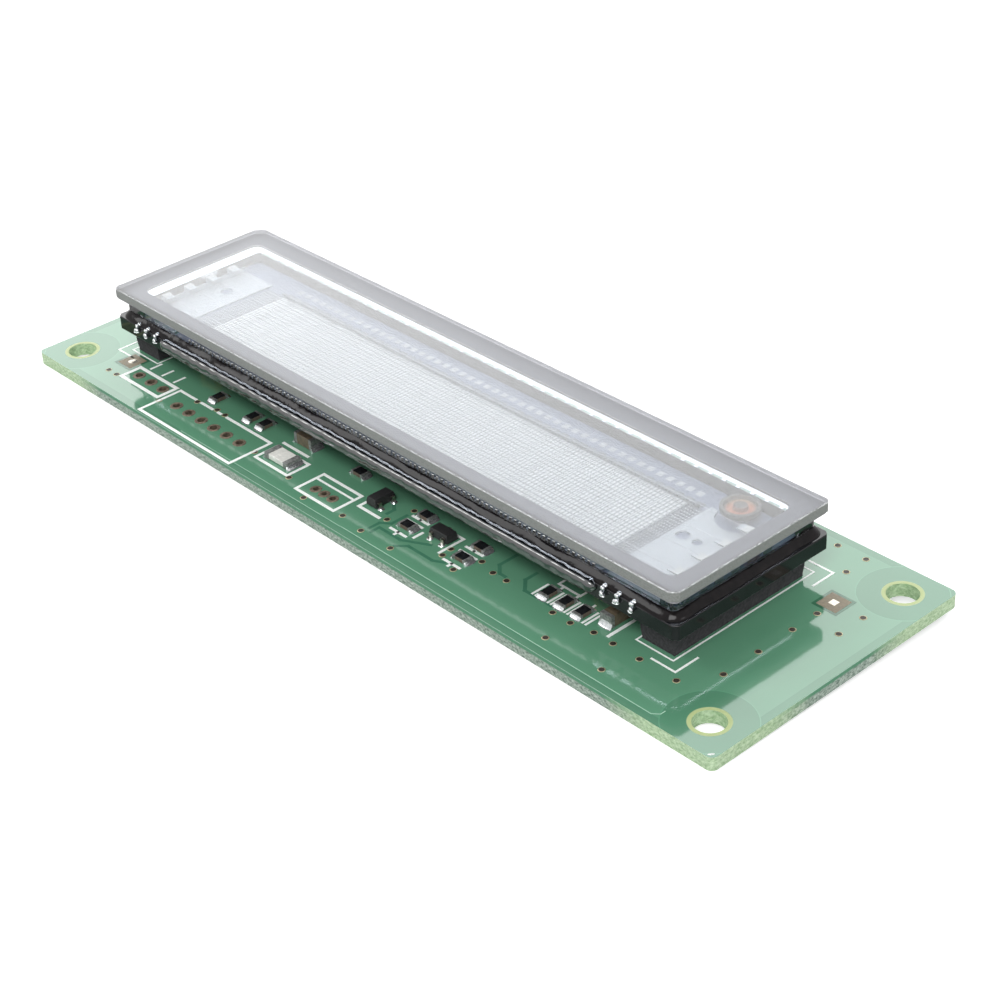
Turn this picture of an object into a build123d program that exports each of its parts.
from build123d import *
import os

os.makedirs("parts", exist_ok=True)

# A display circuit board: a flat vacuum fluorescent display tube on its driving board.
# Millimetres. X runs along the board, Y to the rear, Z up.
# The origin is the centre of the four mounting holes, on the board's underside.
# Places on the board are measured from its front left corner, as on its drawing.

# Circuit board
BOARD_LENGTH = 116.0
BOARD_WIDTH = 37.0
BOARD_THICKNESS = 1.6
BOARD_CORNER_RADIUS = 0.8
MOUNT_HOLE_DIAMETER = 3.5
MOUNT_HOLE_INSET = 4.0

# Rows of plated holes for plugs and links, each as first hole, count and pitch
SIGNAL_ROW_START = (24.7, 4.0)
SIGNAL_HOLE_COUNT = 6
SIGNAL_HOLE_PITCH = 2.54
LINK_ROW_START = (15.0, 5.2)
LINK_HOLE_COUNT = 3
LINK_HOLE_PITCH = 2.54
SUPPLY_ROW_START = (52.0, 3.9)
SUPPLY_HOLE_COUNT = 3
SUPPLY_HOLE_PITCH = 1.5
PLUG_HOLE_DIAMETER = 0.95
SUPPLY_HOLE_DIAMETER = 0.75
PLATING_THICKNESS = 0.05
PAD_RING_WIDTH = 0.3
SMALL_HOLE_SIDES = 8  # small holes have flat sides here, which keeps the model light

# Display tube: base glass by its front left corner on the board, then what stands on it
BASE_GLASS_PLACE = (7.75, 7.65)
BASE_GLASS_LENGTH = 96.4
BASE_GLASS_WIDTH = 23.0
BASE_GLASS_THICKNESS = 1.8
BASE_GLASS_CORNER_CUT = 0.5
END_LEDGE = 1.1
SIDE_LEDGE = 0.9
WALL_THICKNESS = 1.7
WALL_HEIGHT = 2.0
WALL_CORNER_CUT = 0.7
COVER_OVERHANG = 1.0
COVER_THICKNESS = 1.25
COVER_CORNER_CUT = 1.1
COVER_EDGE_CHAMFER = 0.12
UPPER_FRIT_THICKNESS = 0.3
UPPER_FRIT_BULGE = 0.2
LOWER_FRIT_THICKNESS = 0.35
LOWER_FRIT_BULGE = 0.2
LOWER_FRIT_SLOPE_HEIGHT = 0.4
LOWER_FRIT_SLOPE_ANGLE = 20.0
FRIT_CORNER_RADIUS = 1.2

# Foam pads that hold the tube off the board
FOAM_THICKNESS = 3.2
FOAM_PAD_WIDTH = 4.7
FOAM_END_INSET = 1.45
FOAM_FRONT_INSET = 1.35
FOAM_REAR_INSET = 2.15

# Character field, by its margins inside the walls
CHARACTER_COUNT = 20
FIELD_LEFT_MARGIN = 10.45
FIELD_RIGHT_MARGIN = 9.35
FIELD_FRONT_MARGIN = 1.15
FIELD_REAR_MARGIN = 4.05
ANODE_LAYER_LEFT_MARGIN = 3.2
ANODE_LAYER_RIGHT_MARGIN = 0.7
ANODE_LAYER_THICKNESS = 0.05
GRID_GAP = 0.22
GRID_SHEET_THICKNESS = 0.05
GRID_BORDER = 0.3
FLANGE_SHEET = 0.1
FLANGE_HEIGHT = 0.65
FLANGE_LIP = 0.25
FLANGE_FOOT = 0.9
FLANGE_TAB_PITCH = 1.456
FLANGE_TAB_GAP = 0.5
FLANGE_TAB_DEPTH = 0.5

# Filaments and the sprung sheets that stretch them
FILAMENT_COUNT = 4
FILAMENT_EDGE_INSET = 2.1
FILAMENT_SIZE = 0.06
LEFT_SUPPORT_LENGTH = 5.9
RIGHT_SUPPORT_LENGTH = 7.5
SUPPORT_SIDE_OVERHANG = 0.9
SUPPORT_SHEET = 0.2
SUPPORT_HEIGHT = 1.6
SUPPORT_END_GAP = 1.0
TONGUE_WIDTH = 1.0
TONGUE_LENGTH = 1.6
SUPPORT_LARGE_HOLE = 1.6
SUPPORT_SMALL_HOLE = 1.1
LEFT_SUPPORT_HOLE_INSET = 3.0
LEFT_SUPPORT_HOLE_OFFSET = 2.2
RIGHT_SUPPORT_HOLE_INSET = 1.5
RIGHT_SUPPORT_HOLE_OFFSET = 1.35
SUPPORT_HOLE_SPACING = 2.0
SUPPORT_GETTER_CLEARANCE = 0.5

# Getter that cleans the vacuum
GETTER_DIAMETER = 4.4
GETTER_GROOVE_DIAMETER = 3.6
GETTER_HUB_DIAMETER = 1.6
GETTER_HEIGHT = 0.6
GETTER_FLOOR = 0.15
GETTER_STAND_HEIGHT = 1.3
GETTER_WALL_GAP = 0.5
GETTER_END_GAP = 2.6
STAND_SHEET = 0.15
STAND_WIDTH = 1.4

# Leads clipped on the long edges of the base glass
LEAD_PITCH = 2.0
FIRST_LEAD_INSET = 4.55
LAST_LEAD_LEAST_INSET = 5.0
LEAD_SHEET = 0.2
LEAD_WIDTH = 0.5
LEAD_FINGER_REACH = 0.45
CUT_LEAD_DROP = 0.75
LEAD_BELOW_BOARD = 0.9
LEAD_HOLE_DIAMETER = 0.9
LEAD_HOLE_SIDES = 6
BARE_LEAD_COUNT = 3
RESIN_DEPTH = 0.8
RESIN_HALF_HEIGHT = 0.85
RESIN_CENTRE_DROP = 0.48
RESIN_END_MARGIN = 0.95

# Lid over the pumping hole under the base glass
LID_DIAMETER = 4.0
LID_THICKNESS = 0.8
LID_EDGE_CHAMFER = 0.2
LID_FROM_FOAM = 0.6
LID_FROM_REAR = 5.0
PUMP_HOLE_DIAMETER = 1.6

# Fuse
FUSE_PLACE = (44.3, 5.2)
FUSE_LENGTH = 4.2
FUSE_WIDTH = 2.2
FUSE_HEIGHT = 0.8
FUSE_CAP_LENGTH = 0.75
FUSE_CAP_WALL = 0.06

# Transistors, each with two leads on one side and one on the other
TRANSISTOR_PLACES = ((59.5, 7.25, -90.0), (69.95, 7.35, 180.0))
TRANSISTOR_LENGTH = 2.9
TRANSISTOR_WIDTH = 1.6
TRANSISTOR_HEIGHT = 1.0
TRANSISTOR_STAND_OFF = 0.1
TRANSISTOR_DRAFT = 0.12
TRANSISTOR_LEAD_SPACING = 1.9
TRANSISTOR_LEAD_WIDTH = 0.4
TRANSISTOR_LEAD_SHEET = 0.15
TRANSISTOR_LEAD_REACH = 0.65

# Chip resistors, each as x, y and the turn about Z. Those of the right group stand by the
# right foam pad, and their x is the distance from its near side.
RESISTOR_PLACES = (
    (65.6, 6.0, 0.0),
    (65.7, 8.7, 0.0),
    (74.6, 6.0, 0.0),
    (74.6, 8.7, 0.0),
    (53.3, 9.4, 0.0),
    (27.2, 8.5, 90.0),
    (34.1, 8.5, 90.0),
    (36.6, 8.5, 90.0),
)
RIGHT_RESISTOR_PLACES = ((12.1, 7.9, 90.0), (9.6, 7.9, 90.0), (7.1, 7.9, 90.0))
RESISTOR_LENGTH = 2.0
RESISTOR_WIDTH = 1.25
RESISTOR_HEIGHT = 0.5
RESISTOR_END_LENGTH = 0.4
END_WALL = 0.03

# Chip capacitors, placed in the same two ways
CAPACITOR_PLACES = ((43.7, 9.4, 0.0),)
RIGHT_CAPACITOR_PLACES = ((3.9, 9.6, 90.0),)
CAPACITOR_LENGTH = 3.2
CAPACITOR_WIDTH = 1.6
CAPACITOR_HEIGHT = 1.45
CAPACITOR_END_LENGTH = 0.5

# Chips on the board below the tube. What lies below the tube stands in columns, evenly
# spaced between the foam pads, and is placed across the board from the tube's middle line.
CHIP_OFFSET_Y = 1.45
CHIP_BODY_LENGTH = 14.0
CHIP_BODY_HEIGHT = 2.2
CHIP_STAND_OFF = 0.15
CHIP_LEAD_LEVEL = 0.7
CHIP_CORNER_CUT = 0.7
CHIP_EDGE_DRAFT = 0.25
CHIP_SIDE_LEAD_COUNT = 13
CHIP_LEAD_PITCH = 1.0
CHIP_LEAD_WIDTH = 0.35
CHIP_LEAD_REACH = 1.6
CHIP_LEAD_SHEET = 0.17

# Voltage converter and its capacitors below the tube
TRANSFORMER_OFFSET_Y = 1.25
TRANSFORMER_DIAMETER = 11.0
TRANSFORMER_FLANGE = 0.7
TRANSFORMER_HEIGHT = 2.8
TRANSFORMER_POST_DIAMETER = 5.0
COIL_DIAMETER = 9.6
COIL_CLEARANCE = 0.05
TANTALUM_OFFSET_Y = -4.0
TANTALUM_LENGTH = 7.3
TANTALUM_WIDTH = 4.3
TANTALUM_HEIGHT = 2.6
TANTALUM_TAB_WIDTH = 2.4
TANTALUM_TAB_LENGTH = 1.3
TANTALUM_TAB_SHEET = 0.12
RESONATOR_OFFSET_Y = 5.35
RESONATOR_LENGTH = 3.4
RESONATOR_WIDTH = 7.4
RESONATOR_HEIGHT = 1.6
RESONATOR_BAND_WIDTH = 1.2

# Levels that follow from the sizes
BOARD_TOP = BOARD_THICKNESS
BASE_GLASS_BOTTOM = BOARD_TOP + FOAM_THICKNESS
DECK = BASE_GLASS_BOTTOM + BASE_GLASS_THICKNESS
WALL_BOTTOM = DECK + LOWER_FRIT_THICKNESS
WALL_TOP = WALL_BOTTOM + WALL_HEIGHT
COVER_BOTTOM = WALL_TOP + UPPER_FRIT_THICKNESS

# The tube's edges and middle in the part's frame
BASE_LEFT = BASE_GLASS_PLACE[0] - BOARD_LENGTH / 2
BASE_FRONT = BASE_GLASS_PLACE[1] - BOARD_WIDTH / 2
BASE_RIGHT = BASE_LEFT + BASE_GLASS_LENGTH
BASE_REAR = BASE_FRONT + BASE_GLASS_WIDTH
TUBE_X = (BASE_LEFT + BASE_RIGHT) / 2
TUBE_Y = (BASE_FRONT + BASE_REAR) / 2

# Plan sizes that follow from the sizes
WALL_RING_LENGTH = BASE_GLASS_LENGTH - 2 * END_LEDGE
WALL_RING_WIDTH = BASE_GLASS_WIDTH - 2 * SIDE_LEDGE
COVER_LENGTH = WALL_RING_LENGTH + 2 * COVER_OVERHANG
COVER_WIDTH = WALL_RING_WIDTH + 2 * COVER_OVERHANG
CAVITY_LENGTH = WALL_RING_LENGTH - 2 * WALL_THICKNESS
CAVITY_WIDTH = WALL_RING_WIDTH - 2 * WALL_THICKNESS
FIELD_LENGTH = CAVITY_LENGTH - FIELD_LEFT_MARGIN - FIELD_RIGHT_MARGIN
FIELD_WIDTH = CAVITY_WIDTH - FIELD_FRONT_MARGIN - FIELD_REAR_MARGIN
FIELD_X = TUBE_X + (FIELD_LEFT_MARGIN - FIELD_RIGHT_MARGIN) / 2
FIELD_Y = TUBE_Y + (FIELD_FRONT_MARGIN - FIELD_REAR_MARGIN) / 2
CHARACTER_PITCH = FIELD_LENGTH / CHARACTER_COUNT
SUPPORT_WIDTH = FIELD_WIDTH + 2 * SUPPORT_SIDE_OVERHANG
FOAM_PAD_LENGTH = BASE_GLASS_WIDTH - FOAM_FRONT_INSET - FOAM_REAR_INSET
LEFT_FOAM_X = BASE_LEFT + FOAM_END_INSET + FOAM_PAD_WIDTH / 2
RIGHT_FOAM_X = BASE_RIGHT - FOAM_END_INSET - FOAM_PAD_WIDTH / 2
RIGHT_FOAM_SIDE = RIGHT_FOAM_X - FOAM_PAD_WIDTH / 2
LEAD_COUNT = 1 + int((BASE_GLASS_LENGTH - FIRST_LEAD_INSET - LAST_LEAD_LEAST_INSET) / LEAD_PITCH)

# Columns of parts between the foam pads, by their widths along the board
CHIP_SPAN = CHIP_BODY_LENGTH + 2 * CHIP_LEAD_REACH
COLUMN_WIDTHS = (TANTALUM_WIDTH, CHIP_SPAN, CHIP_SPAN, TRANSFORMER_DIAMETER, TANTALUM_WIDTH)


def spot(x, y):
    """A place on the board, from its front left corner, in the part's frame."""
    return x - BOARD_LENGTH / 2, y - BOARD_WIDTH / 2


def row(start, count, pitch):
    """The places of a row of holes that runs along X."""
    return [spot(start[0] + n * pitch, start[1]) for n in range(count)]


def block(length, width, bottom, height, x=0.0, y=0.0):
    """A plain block, centred at x and y, that stands on the level bottom."""
    return Pos(x, y, bottom + height / 2) * Box(length, width, height)


def save(name, *solids):
    """Write one sub-part, which may be a group of separate solids."""
    group = solids[0] if len(solids) == 1 else Compound(list(solids))
    export_step(group, "parts/" + name + ".step")


def small_round(radius, sides=SMALL_HOLE_SIDES):
    """The plan of a small round hole or pad, whose flats touch the circle of this radius."""
    return RegularPolygon(radius, sides, major_radius=False, rotation=180 / sides)


def lead_places():
    """The X of every lead along a long edge of the tube."""
    return [BASE_LEFT + FIRST_LEAD_INSET + n * LEAD_PITCH for n in range(LEAD_COUNT)]


def column_places():
    """The X of each column of parts below the tube."""
    start = LEFT_FOAM_X + FOAM_PAD_WIDTH / 2
    gap = (RIGHT_FOAM_SIDE - start - sum(COLUMN_WIDTHS)) / (len(COLUMN_WIDTHS) + 1)
    return [start + sum(COLUMN_WIDTHS[:n]) + (n + 1) * gap + width / 2
            for n, width in enumerate(COLUMN_WIDTHS)]


SIGNAL_ROW = row(SIGNAL_ROW_START, SIGNAL_HOLE_COUNT, SIGNAL_HOLE_PITCH)
LINK_ROW = row(LINK_ROW_START, LINK_HOLE_COUNT, LINK_HOLE_PITCH)
SUPPLY_ROW = row(SUPPLY_ROW_START, SUPPLY_HOLE_COUNT, SUPPLY_HOLE_PITCH)
LEAD_HOLE_Y = BASE_REAR + LEAD_SHEET / 2


def circuit_board():
    """The laminate with its mounting holes, plug holes and the tube's lead holes."""
    plan = RectangleRounded(BOARD_LENGTH, BOARD_WIDTH, BOARD_CORNER_RADIUS)
    hole_x = BOARD_LENGTH / 2 - MOUNT_HOLE_INSET
    hole_y = BOARD_WIDTH / 2 - MOUNT_HOLE_INSET
    holes = [Pos(sx * hole_x, sy * hole_y) * Circle(MOUNT_HOLE_DIAMETER / 2)
             for sx in (-1, 1) for sy in (-1, 1)]
    plug_hole = small_round(PLUG_HOLE_DIAMETER / 2 + PLATING_THICKNESS)
    supply_hole = small_round(SUPPLY_HOLE_DIAMETER / 2 + PLATING_THICKNESS)
    lead_hole = small_round(LEAD_HOLE_DIAMETER / 2, LEAD_HOLE_SIDES)
    holes += [Pos(*p) * plug_hole for p in SIGNAL_ROW + LINK_ROW]
    holes += [Pos(*p) * supply_hole for p in SUPPLY_ROW]
    holes += [Pos(x, LEAD_HOLE_Y) * lead_hole for x in lead_places()]
    return extrude(plan - holes, BOARD_THICKNESS)


def plated_hole(bore):
    """A copper sleeve through the board with a flat pad ring on each face."""
    sleeve_radius = bore / 2 + PLATING_THICKNESS
    sleeve = extrude(small_round(sleeve_radius), BOARD_THICKNESS)
    pad = extrude(small_round(sleeve_radius + PAD_RING_WIDTH), PLATING_THICKNESS)
    bore_space = extrude(small_round(bore / 2), BOARD_THICKNESS + 2 * PLATING_THICKNESS)
    whole = sleeve + Pos(0, 0, BOARD_TOP) * pad + Pos(0, 0, -PLATING_THICKNESS) * pad
    return whole - Pos(0, 0, -PLATING_THICKNESS) * bore_space


def connector_pads():
    """All the plated holes of the three rows."""
    large = plated_hole(PLUG_HOLE_DIAMETER)
    small = plated_hole(SUPPLY_HOLE_DIAMETER)
    pads = [Pos(*p) * large for p in SIGNAL_ROW + LINK_ROW]
    return pads + [Pos(*p) * small for p in SUPPLY_ROW]


def foam_pad(x):
    """One foam pad between the board and the base glass, at an end of the tube."""
    y = BASE_FRONT + FOAM_FRONT_INSET + FOAM_PAD_LENGTH / 2
    return block(FOAM_PAD_WIDTH, FOAM_PAD_LENGTH, BOARD_TOP, FOAM_THICKNESS, x, y)


def pump_hole_place():
    """Where the tube was pumped out, beside the right foam pad."""
    return RIGHT_FOAM_SIDE - LID_FROM_FOAM - LID_DIAMETER / 2, BASE_REAR - LID_FROM_REAR


def base_glass():
    """The thick lower glass, with trimmed corners and the pumping hole."""
    plate = Pos(TUBE_X, TUBE_Y) * Rectangle(BASE_GLASS_LENGTH, BASE_GLASS_WIDTH)
    plate = chamfer(plate.vertices(), BASE_GLASS_CORNER_CUT)
    plate -= Pos(*pump_hole_place()) * small_round(PUMP_HOLE_DIAMETER / 2)
    return Pos(0, 0, BASE_GLASS_BOTTOM) * extrude(plate, BASE_GLASS_THICKNESS)


def exhaust_lid():
    """The glass disc sealed over the pumping hole."""
    disc = Pos(0, 0, -LID_THICKNESS / 2) * Cylinder(LID_DIAMETER / 2, LID_THICKNESS)
    disc = chamfer(disc.faces().sort_by(Axis.Z)[0].edges(), LID_EDGE_CHAMFER)
    return Pos(*pump_hole_place(), BASE_GLASS_BOTTOM) * disc


def cover_glass():
    """The clear upper glass, with cut corners and lightly ground edges."""
    plate = Pos(TUBE_X, TUBE_Y) * Rectangle(COVER_LENGTH, COVER_WIDTH)
    plate = chamfer(plate.vertices(), COVER_CORNER_CUT)
    plate = extrude(plate, COVER_THICKNESS)
    plate = chamfer(plate.faces().sort_by(Axis.Z)[-1].edges(), COVER_EDGE_CHAMFER)
    return Pos(0, 0, COVER_BOTTOM) * plate


def wall_column():
    """The whole space inside the walls' outer faces, with its corners cut."""
    plan = chamfer(Rectangle(WALL_RING_LENGTH, WALL_RING_WIDTH).vertices(), WALL_CORNER_CUT)
    return Pos(TUBE_X, TUBE_Y, WALL_BOTTOM) * extrude(plan, WALL_HEIGHT)


def walls():
    """The four glass bars between the base glass and the cover: front, rear, left and right."""
    long_y = (WALL_RING_WIDTH - WALL_THICKNESS) / 2
    short_x = (WALL_RING_LENGTH - WALL_THICKNESS) / 2
    column = wall_column()
    bars = [column & block(WALL_RING_LENGTH, WALL_THICKNESS, WALL_BOTTOM, WALL_HEIGHT,
                           TUBE_X, TUBE_Y + side * long_y) for side in (-1, 1)]
    bars += [block(WALL_THICKNESS, CAVITY_WIDTH, WALL_BOTTOM, WALL_HEIGHT,
                   TUBE_X + side * short_x, TUBE_Y) for side in (-1, 1)]
    return bars


def frit_outline(bulge):
    """A rounded outline that follows the walls and stands out by the bulge."""
    return RectangleRounded(WALL_RING_LENGTH + 2 * bulge, WALL_RING_WIDTH + 2 * bulge,
                            FRIT_CORNER_RADIUS)


def lower_frit():
    """The melted glass seal on the base glass, which slopes up round the foot of the walls."""
    outline = frit_outline(LOWER_FRIT_BULGE)
    seal = extrude(outline, LOWER_FRIT_THICKNESS)
    seal += Pos(0, 0, LOWER_FRIT_THICKNESS) * extrude(
        outline, LOWER_FRIT_SLOPE_HEIGHT, taper=LOWER_FRIT_SLOPE_ANGLE)
    seal -= extrude(Rectangle(CAVITY_LENGTH, CAVITY_WIDTH), LOWER_FRIT_THICKNESS)
    return Pos(TUBE_X, TUBE_Y, DECK) * seal - wall_column()


def upper_frit():
    """The thinner seal between the walls and the cover glass."""
    plan = frit_outline(UPPER_FRIT_BULGE) - Rectangle(CAVITY_LENGTH, CAVITY_WIDTH)
    return Pos(TUBE_X, TUBE_Y, WALL_TOP) * extrude(plan, UPPER_FRIT_THICKNESS)


def anode_layer():
    """The printed layer on the base glass that carries the lit dots."""
    length = FIELD_LENGTH + ANODE_LAYER_LEFT_MARGIN + ANODE_LAYER_RIGHT_MARGIN
    x = FIELD_X + (ANODE_LAYER_RIGHT_MARGIN - ANODE_LAYER_LEFT_MARGIN) / 2
    return block(length, FIELD_WIDTH, DECK, ANODE_LAYER_THICKNESS, x, FIELD_Y)


def control_grid():
    """The frame of one etched sheet, over one column of characters."""
    width = CHARACTER_PITCH - GRID_GAP
    opening = Rectangle(width - 2 * GRID_BORDER, FIELD_WIDTH - 2 * GRID_BORDER)
    return extrude(Rectangle(width, FIELD_WIDTH) - opening, GRID_SHEET_THICKNESS)


def control_grids():
    """The row of grid sheets, which rest on the lips of the two flanges."""
    sheet = control_grid()
    first = FIELD_X - (CHARACTER_COUNT - 1) * CHARACTER_PITCH / 2
    level = DECK + FLANGE_HEIGHT
    return [Pos(first + n * CHARACTER_PITCH, FIELD_Y, level) * sheet
            for n in range(CHARACTER_COUNT)]


def grid_flange(side):
    """A stepped strip along the field that carries the grids, with a row of tabs in its foot."""
    lip_edge = FIELD_Y + side * (FIELD_WIDTH / 2 - FLANGE_LIP)
    riser = lip_edge + side * (FLANGE_LIP + FLANGE_SHEET)
    foot_edge = riser + side * FLANGE_FOOT
    under_lip = DECK + FLANGE_HEIGHT - FLANGE_SHEET
    profile = Polyline(
        (lip_edge, under_lip), (riser - side * FLANGE_SHEET, under_lip),
        (riser - side * FLANGE_SHEET, DECK), (foot_edge, DECK), (foot_edge, DECK + FLANGE_SHEET),
        (riser, DECK + FLANGE_SHEET), (riser, DECK + FLANGE_HEIGHT),
        (lip_edge, DECK + FLANGE_HEIGHT), close=True)
    strip = extrude(Plane.YZ * make_face(profile), FIELD_LENGTH / 2, both=True)
    count = int(FIELD_LENGTH / FLANGE_TAB_PITCH)
    first = -(count - 1) * FLANGE_TAB_PITCH / 2
    gap = block(FLANGE_TAB_GAP, 2 * FLANGE_TAB_DEPTH, DECK, FLANGE_SHEET, 0, foot_edge)
    strip -= [Pos(first + n * FLANGE_TAB_PITCH, 0, 0) * gap for n in range(count)]
    return Pos(FIELD_X, 0, 0) * strip


def filament_rows():
    """The Y of each filament across the field."""
    span = SUPPORT_WIDTH - 2 * FILAMENT_EDGE_INSET
    return [FIELD_Y - span / 2 + n * span / (FILAMENT_COUNT - 1) for n in range(FILAMENT_COUNT)]


def filament_support(side, length):
    """A bent spring sheet at one end of the field, with one tongue for each filament."""
    outer_x = CAVITY_LENGTH / 2 - SUPPORT_END_GAP
    inner_x = outer_x - length
    top = DECK + SUPPORT_HEIGHT
    profile = Polyline(
        (inner_x, DECK), (outer_x, DECK), (outer_x, top), (outer_x - TONGUE_LENGTH, top),
        (outer_x - TONGUE_LENGTH, top - SUPPORT_SHEET),
        (outer_x - SUPPORT_SHEET, top - SUPPORT_SHEET),
        (outer_x - SUPPORT_SHEET, DECK + SUPPORT_SHEET),
        (inner_x, DECK + SUPPORT_SHEET), close=True)
    sheet = Pos(0, FIELD_Y, 0) * extrude(Plane.XZ * make_face(profile), SUPPORT_WIDTH / 2, both=True)
    rows = filament_rows()
    ends = [FIELD_Y - SUPPORT_WIDTH / 2] + [y + TONGUE_WIDTH / 2 for y in rows]
    starts = [y - TONGUE_WIDTH / 2 for y in rows] + [FIELD_Y + SUPPORT_WIDTH / 2]
    for low, high in zip(ends, starts):
        sheet -= block(2 * TONGUE_LENGTH, high - low, top - SUPPORT_HEIGHT / 2, SUPPORT_HEIGHT,
                       outer_x, (low + high) / 2)
    if side < 0:
        sheet = mirror(sheet, Plane.YZ)
    return Pos(TUBE_X, 0, 0) * sheet


def support_hole(x, y, diameter):
    """The space of a round hole through the foot of a support."""
    return Pos(x, y, DECK) * extrude(small_round(diameter / 2), SUPPORT_SHEET)


def left_support():
    """The support at the left end, with one locating hole."""
    inner_x = TUBE_X - CAVITY_LENGTH / 2 + SUPPORT_END_GAP + LEFT_SUPPORT_LENGTH
    return filament_support(-1, LEFT_SUPPORT_LENGTH) - support_hole(
        inner_x - LEFT_SUPPORT_HOLE_INSET, FIELD_Y + LEFT_SUPPORT_HOLE_OFFSET, SUPPORT_LARGE_HOLE)


def right_support():
    """The support at the right end, with two locating holes, cut away round the getter."""
    sheet = filament_support(1, RIGHT_SUPPORT_LENGTH)
    x = TUBE_X + CAVITY_LENGTH / 2 - SUPPORT_END_GAP - RIGHT_SUPPORT_LENGTH
    x += RIGHT_SUPPORT_HOLE_INSET
    y = FIELD_Y + RIGHT_SUPPORT_HOLE_OFFSET
    sheet -= support_hole(x, y, SUPPORT_LARGE_HOLE)
    sheet -= support_hole(x + SUPPORT_HOLE_SPACING, y, SUPPORT_SMALL_HOLE)
    getter_space = extrude(Circle(GETTER_DIAMETER / 2 + SUPPORT_GETTER_CLEARANCE), SUPPORT_SHEET)
    return sheet - Pos(*getter_place(), DECK) * getter_space


def filaments():
    """The heated wires, stretched from tongue to tongue."""
    length = CAVITY_LENGTH - 2 * SUPPORT_END_GAP - TONGUE_LENGTH
    return [block(length, FILAMENT_SIZE, DECK + SUPPORT_HEIGHT, FILAMENT_SIZE, TUBE_X, y)
            for y in filament_rows()]


def getter_place():
    """The getter stands in the rear right corner of the cavity."""
    x = TUBE_X + CAVITY_LENGTH / 2 - GETTER_END_GAP - GETTER_DIAMETER / 2
    y = TUBE_Y + CAVITY_WIDTH / 2 - GETTER_WALL_GAP - GETTER_DIAMETER / 2
    return x, y


def getter_ring():
    """A shallow metal pan with a ring groove, which held the metal that was flashed off."""
    pan = Pos(0, 0, GETTER_HEIGHT / 2) * Cylinder(GETTER_DIAMETER / 2, GETTER_HEIGHT)
    groove = Cylinder(GETTER_GROOVE_DIAMETER / 2, GETTER_HEIGHT) - Cylinder(
        GETTER_HUB_DIAMETER / 2, GETTER_HEIGHT)
    pan -= Pos(0, 0, GETTER_FLOOR + GETTER_HEIGHT / 2) * groove
    return Pos(*getter_place(), DECK + GETTER_STAND_HEIGHT) * pan


def getter_stand():
    """A bent strip that carries the getter above the base glass."""
    x, y = getter_place()
    reach = GETTER_DIAMETER / 2
    top = DECK + GETTER_STAND_HEIGHT
    profile = Polyline(
        (0, DECK), (reach, DECK), (reach, top), (0, top), (0, top - STAND_SHEET),
        (reach - STAND_SHEET, top - STAND_SHEET), (reach - STAND_SHEET, DECK + STAND_SHEET),
        (0, DECK + STAND_SHEET), close=True)
    return Pos(x, y, 0) * extrude(Plane.YZ * make_face(profile), STAND_WIDTH / 2, both=True)


def clipped_lead(edge, side, bottom):
    """A lead with a finger on the base glass and a leg that runs down its edge."""
    finger = edge - side * LEAD_FINGER_REACH
    outside = edge + side * LEAD_SHEET
    profile = Polyline(
        (finger, DECK), (edge, DECK), (edge, bottom), (outside, bottom),
        (outside, DECK + LEAD_SHEET), (finger, DECK + LEAD_SHEET), close=True)
    return extrude(Plane.YZ * make_face(profile), LEAD_WIDTH / 2, both=True)


def front_lead_clips():
    """The leads along the front edge, which were cut short after the tube was made."""
    lead = clipped_lead(BASE_FRONT, -1, DECK - CUT_LEAD_DROP)
    return [Pos(x, 0, 0) * lead for x in lead_places()]


def rear_lead_pins():
    """The leads along the rear edge, which run down through the board."""
    lead = clipped_lead(BASE_REAR, 1, -LEAD_BELOW_BOARD)
    return [Pos(x, 0, 0) * lead for x in lead_places()]


def resin_bead(leads):
    """The bead of black resin that buries the cut leads, apart from a few at each end."""
    places = lead_places()
    left = places[BARE_LEAD_COUNT] - RESIN_END_MARGIN
    right = places[-1 - BARE_LEAD_COUNT] + RESIN_END_MARGIN
    level = DECK - RESIN_CENTRE_DROP
    oval = Pos(BASE_FRONT, level) * Ellipse(RESIN_DEPTH, RESIN_HALF_HEIGHT)
    bead = Pos((left + right) / 2, 0, 0) * extrude(Plane.YZ * oval, (right - left) / 2, both=True)
    bead -= block(BASE_GLASS_LENGTH, BASE_GLASS_WIDTH, BASE_GLASS_BOTTOM,
                  BASE_GLASS_THICKNESS, TUBE_X, TUBE_Y)
    return bead - leads[BARE_LEAD_COUNT:LEAD_COUNT - BARE_LEAD_COUNT]


def end_caps(length, width, height, cap, wall):
    """The two metal ends that wrap a chip, centred on the origin and standing on Z = 0."""
    shell = block(length, width, 0, height)
    core = block(length - 2 * wall, width - 2 * wall, wall, height - 2 * wall)
    shell -= core + block(length - 2 * cap, width, 0, height)
    return shell.solids().sort_by(Axis.X)


def chip_core(length, width, height, wall):
    """The ceramic inside a pair of end caps."""
    return block(length - 2 * wall, width - 2 * wall, wall, height - 2 * wall)


def placed(solids, places):
    """Copies of the solids on the board's top face, each as x, y and turn."""
    return [Pos(*spot(x, y), BOARD_TOP) * Rot(0, 0, turn) * solid
            for x, y, turn in places for solid in solids]


def fuse():
    """The fuse's ceramic body and its two end caps."""
    core = chip_core(FUSE_LENGTH, FUSE_WIDTH, FUSE_HEIGHT, FUSE_CAP_WALL)
    caps = end_caps(FUSE_LENGTH, FUSE_WIDTH, FUSE_HEIGHT, FUSE_CAP_LENGTH, FUSE_CAP_WALL)
    place = [(*FUSE_PLACE, 0.0)]
    return placed([core], place), placed(caps, place)


def by_foam(places):
    """Places by the right foam pad, as places on the board."""
    return tuple((RIGHT_FOAM_SIDE + BOARD_LENGTH / 2 - x, y, turn) for x, y, turn in places)


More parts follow.
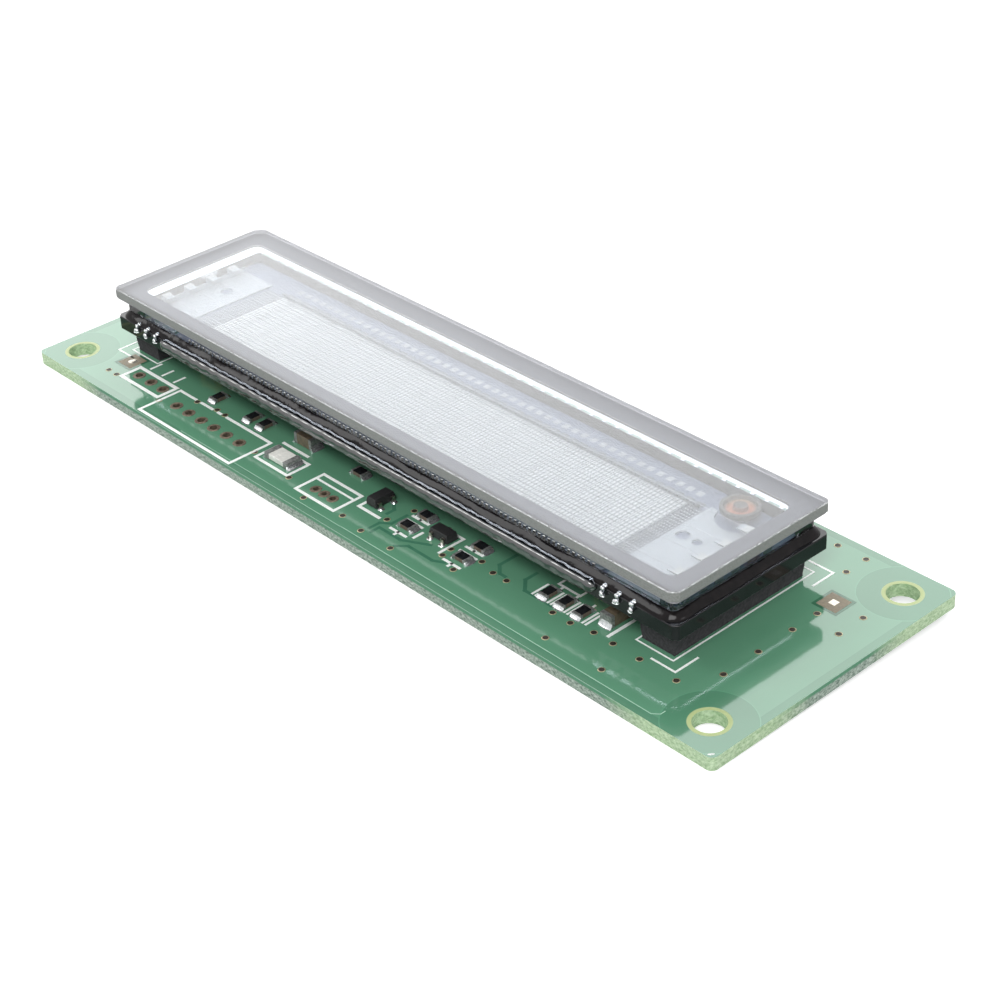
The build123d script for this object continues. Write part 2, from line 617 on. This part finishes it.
def chip_parts(length, width, height, cap, places):
    """The bodies and the metal ends of one kind of chip part."""
    core = chip_core(length, width, height, END_WALL)
    caps = end_caps(length, width, height, cap, END_WALL)
    return placed([core], places), placed(caps, places)


def transistor_body():
    """A small moulded body whose sides lean in from its parting line."""
    middle = TRANSISTOR_HEIGHT / 2
    outer = Rectangle(TRANSISTOR_LENGTH, TRANSISTOR_WIDTH)
    inner = Rectangle(TRANSISTOR_LENGTH - 2 * TRANSISTOR_DRAFT,
                      TRANSISTOR_WIDTH - 2 * TRANSISTOR_DRAFT)
    upper = loft([Pos(0, 0, middle) * outer, Pos(0, 0, TRANSISTOR_HEIGHT) * inner])
    return Pos(0, 0, TRANSISTOR_STAND_OFF) * (extrude(outer, middle) + upper)


def transistor_leads():
    """Three stepped leads, two on the +Y side and one on the other."""
    edge = TRANSISTOR_WIDTH / 2
    sheet = TRANSISTOR_LEAD_SHEET
    knee = edge + TRANSISTOR_LEAD_REACH / 2
    toe = edge + TRANSISTOR_LEAD_REACH
    level = TRANSISTOR_STAND_OFF + TRANSISTOR_HEIGHT / 2
    profile = Polyline(
        (edge, level), (knee - sheet, level), (knee - sheet, 0), (toe, 0), (toe, sheet),
        (knee, sheet), (knee, level + sheet), (edge, level + sheet), close=True)
    lead = extrude(Plane.YZ * make_face(profile), TRANSISTOR_LEAD_WIDTH / 2, both=True)
    half = TRANSISTOR_LEAD_SPACING / 2
    return [Pos(-half, 0, 0) * lead, Pos(half, 0, 0) * lead, Rot(0, 0, 180) * lead]


def chip_body():
    """A square moulded chip with a cut corner and leaning sides."""
    plan = Rectangle(CHIP_BODY_LENGTH, CHIP_BODY_LENGTH)
    left_corners = plan.vertices().sort_by(Axis.X)[:2]
    plan = chamfer(left_corners.sort_by(Axis.Y)[0], CHIP_CORNER_CUT)
    middle = CHIP_BODY_HEIGHT / 2
    body = extrude(plan, CHIP_BODY_HEIGHT)
    body = chamfer(body.faces().sort_by(Axis.Z)[-1].edges(), middle, CHIP_EDGE_DRAFT)
    return Pos(0, 0, CHIP_STAND_OFF) * body


def chip_leads():
    """The leaning leads on all four sides of a chip."""
    edge = CHIP_BODY_LENGTH / 2
    toe = edge + CHIP_LEAD_REACH
    sheet = CHIP_LEAD_SHEET
    profile = Polyline((edge, CHIP_LEAD_LEVEL), (toe, 0), (toe, sheet),
                       (edge, CHIP_LEAD_LEVEL + sheet), close=True)
    lead = extrude(Plane.YZ * make_face(profile), CHIP_LEAD_WIDTH / 2, both=True)
    first = -(CHIP_SIDE_LEAD_COUNT - 1) * CHIP_LEAD_PITCH / 2
    return [Rot(0, 0, 90 * side) * Pos(first + n * CHIP_LEAD_PITCH, 0, 0) * lead
            for side in range(4) for n in range(CHIP_SIDE_LEAD_COUNT)]


def transformer():
    """A low drum core and the coil that is wound in its waist."""
    flange = Cylinder(TRANSFORMER_DIAMETER / 2, TRANSFORMER_FLANGE)
    top = TRANSFORMER_HEIGHT - TRANSFORMER_FLANGE / 2
    post = Cylinder(TRANSFORMER_POST_DIAMETER / 2, TRANSFORMER_HEIGHT)
    core = Pos(0, 0, TRANSFORMER_HEIGHT / 2) * post
    core += Pos(0, 0, TRANSFORMER_FLANGE / 2) * flange + Pos(0, 0, top) * flange
    space = TRANSFORMER_HEIGHT - 2 * TRANSFORMER_FLANGE - 2 * COIL_CLEARANCE
    coil = Cylinder(COIL_DIAMETER / 2, space) - Cylinder(
        TRANSFORMER_POST_DIAMETER / 2 + COIL_CLEARANCE, space)
    coil = Pos(0, 0, TRANSFORMER_HEIGHT / 2) * coil
    return core, coil


def tantalum():
    """A moulded capacitor and its two tabs folded up against the ends."""
    sheet = TANTALUM_TAB_SHEET
    body = block(TANTALUM_LENGTH, TANTALUM_WIDTH, sheet, TANTALUM_HEIGHT - sheet)
    end = TANTALUM_LENGTH / 2
    profile = Polyline(
        (end - TANTALUM_TAB_LENGTH, 0), (end + sheet, 0), (end + sheet, TANTALUM_HEIGHT / 2),
        (end, TANTALUM_HEIGHT / 2), (end, sheet), (end - TANTALUM_TAB_LENGTH, sheet), close=True)
    tab = extrude(Plane.XZ * make_face(profile), TANTALUM_TAB_WIDTH / 2, both=True)
    return [Rot(0, 0, turn) * piece for turn, piece in ((90, body), (90, tab), (-90, tab))]


def below_tube(solids, x, offset_y):
    """The solids set on the board's top face in a column below the tube."""
    return [Pos(x, TUBE_Y + offset_y, BOARD_TOP) * solid for solid in solids]


def resonator():
    """A ceramic timing part with three metal bands under it."""
    sheet = TANTALUM_TAB_SHEET
    body = block(RESONATOR_LENGTH, RESONATOR_WIDTH, sheet, RESONATOR_HEIGHT - sheet)
    step = (RESONATOR_WIDTH - RESONATOR_BAND_WIDTH) / 2
    bands = [block(RESONATOR_LENGTH, RESONATOR_BAND_WIDTH, 0, sheet, 0, n * step)
             for n in (-1, 0, 1)]
    return body, bands


# The board and the tube
save("circuit_board", circuit_board())
save("connector_pads", *connector_pads())
save("foam_pad_left", foam_pad(LEFT_FOAM_X))
save("foam_pad_right", foam_pad(RIGHT_FOAM_X))
save("base_glass", base_glass())
save("exhaust_lid", exhaust_lid())
for name, bar in zip(("front", "rear", "left", "right"), walls()):
    save("tube_wall_" + name, bar)
save("lower_frit", lower_frit())
save("upper_frit", upper_frit())
save("cover_glass", cover_glass())

# Inside the tube
save("anode_layer", anode_layer())
save("control_grids", *control_grids())
save("front_grid_flange", grid_flange(-1))
save("rear_grid_flange", grid_flange(1))
save("filament_support_left", left_support())
save("filament_support_right", right_support())
save("filaments", *filaments())
save("getter_ring", getter_ring())
save("getter_stand", getter_stand())

# The tube's leads
cut_leads = front_lead_clips()
save("front_lead_clips", *cut_leads)
save("rear_lead_pins", *rear_lead_pins())
save("resin_bead", resin_bead(cut_leads))

# Parts along the front of the board
fuse_body, fuse_caps = fuse()
save("fuse_body", *fuse_body)
save("fuse_caps", *fuse_caps)
save("transistor_bodies", *placed([transistor_body()], TRANSISTOR_PLACES))
save("transistor_leads", *placed(transistor_leads(), TRANSISTOR_PLACES))
resistors, resistor_ends = chip_parts(
    RESISTOR_LENGTH, RESISTOR_WIDTH, RESISTOR_HEIGHT, RESISTOR_END_LENGTH,
    RESISTOR_PLACES + by_foam(RIGHT_RESISTOR_PLACES))
save("chip_resistors", *resistors)
save("resistor_ends", *resistor_ends)
capacitors, capacitor_ends = chip_parts(
    CAPACITOR_LENGTH, CAPACITOR_WIDTH, CAPACITOR_HEIGHT, CAPACITOR_END_LENGTH,
    CAPACITOR_PLACES + by_foam(RIGHT_CAPACITOR_PLACES))
save("chip_capacitors", *capacitors)
save("capacitor_ends", *capacitor_ends)

# Parts below the tube, in columns from the left
resonator_x, controller_x, driver_x, transformer_x, converter_x = column_places()
for name, x in (("controller", controller_x), ("driver", driver_x)):
    save(name + "_chip", *below_tube([chip_body()], x, CHIP_OFFSET_Y))
    save(name + "_leads", *below_tube(chip_leads(), x, CHIP_OFFSET_Y))
core, coil = below_tube(transformer(), transformer_x, TRANSFORMER_OFFSET_Y)
save("transformer_core", core)
save("transformer_coil", coil)
tantalums = [below_tube(tantalum(), x, TANTALUM_OFFSET_Y) for x in (resonator_x, converter_x)]
save("reservoir_capacitors", *[pieces[0] for pieces in tantalums])
save("reservoir_tabs", *[tab for pieces in tantalums for tab in pieces[1:]])
resonator_body, resonator_bands = resonator()
save("ceramic_resonator", *below_tube([resonator_body], resonator_x, RESONATOR_OFFSET_Y))
save("resonator_bands", *below_tube(resonator_bands, resonator_x, RESONATOR_OFFSET_Y))
